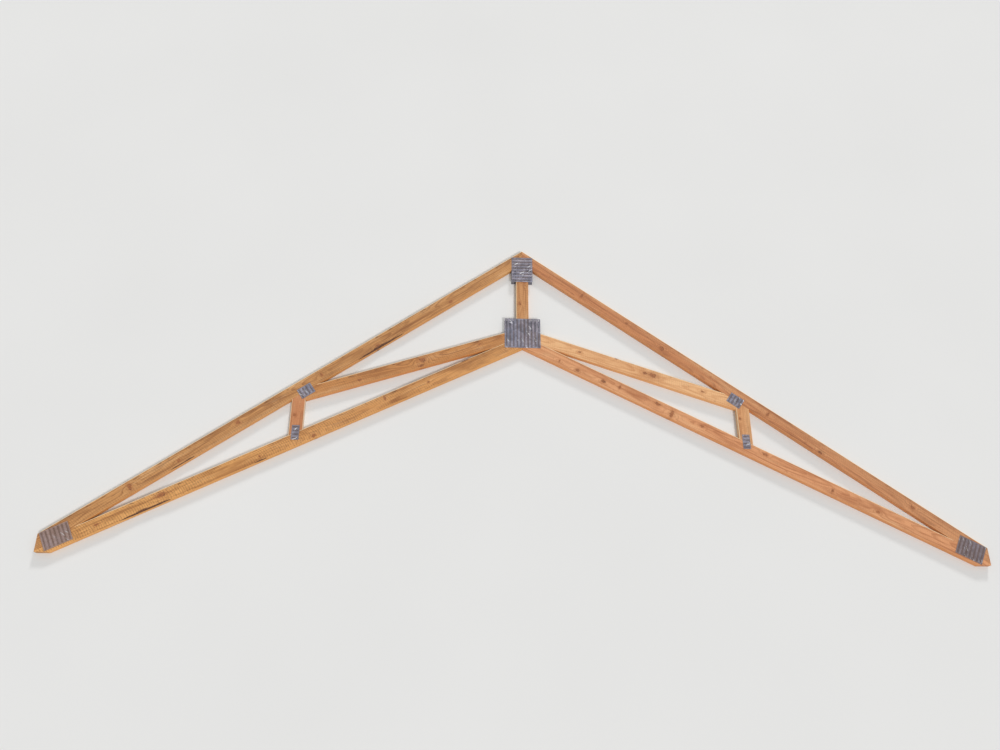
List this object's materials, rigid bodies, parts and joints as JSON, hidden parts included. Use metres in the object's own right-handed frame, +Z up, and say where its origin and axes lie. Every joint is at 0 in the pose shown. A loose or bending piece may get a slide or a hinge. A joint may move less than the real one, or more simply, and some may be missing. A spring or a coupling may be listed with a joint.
{
  "type": "scissor roof truss",
  "caption": "Wooden scissor roof truss: sloping top and bottom chords, king post, vertical and diagonal webs of dressed lumber, joined by punched galvanized steel plates.",
  "frame": {"origin": "under the middle of the truss as it lies flat: centre of the bounding box, on the floor", "axes": "+X along the span, to the right in the picture; +Y up the slope, towards the ridge; +Z up from the floor, through the thickness"},
  "size_m": [6.096, 2.2741, 0.0401],
  "materials": {
    "lumber": "planed softwood, unfinished",
    "galvanized_plate": "galvanized, punched"
  },
  "bodies": {
    "root": {"king_post": "lumber", "top_chord_left": "lumber", "bottom_chord_left": "lumber", "vertical_web_left": "lumber", "diagonal_web_left": "lumber", "top_chord_right": "lumber", "bottom_chord_right": "lumber", "vertical_web_right": "lumber", "diagonal_web_right": "lumber", "ridge_plate_front": "galvanized_plate", "ridge_plate_back": "galvanized_plate", "peak_plate_front": "galvanized_plate", "peak_plate_back": "galvanized_plate", "web_head_plate_left_front": "galvanized_plate", "web_head_plate_left_back": "galvanized_plate", "web_foot_plate_left_front": "galvanized_plate", "web_foot_plate_left_back": "galvanized_plate", "heel_plate_left_front": "galvanized_plate", "heel_plate_left_back": "galvanized_plate", "web_head_plate_right_front": "galvanized_plate", "web_head_plate_right_back": "galvanized_plate", "web_foot_plate_right_front": "galvanized_plate", "web_foot_plate_right_back": "galvanized_plate", "heel_plate_right_front": "galvanized_plate", "heel_plate_right_back": "galvanized_plate"}
  },
  "joints": []
}
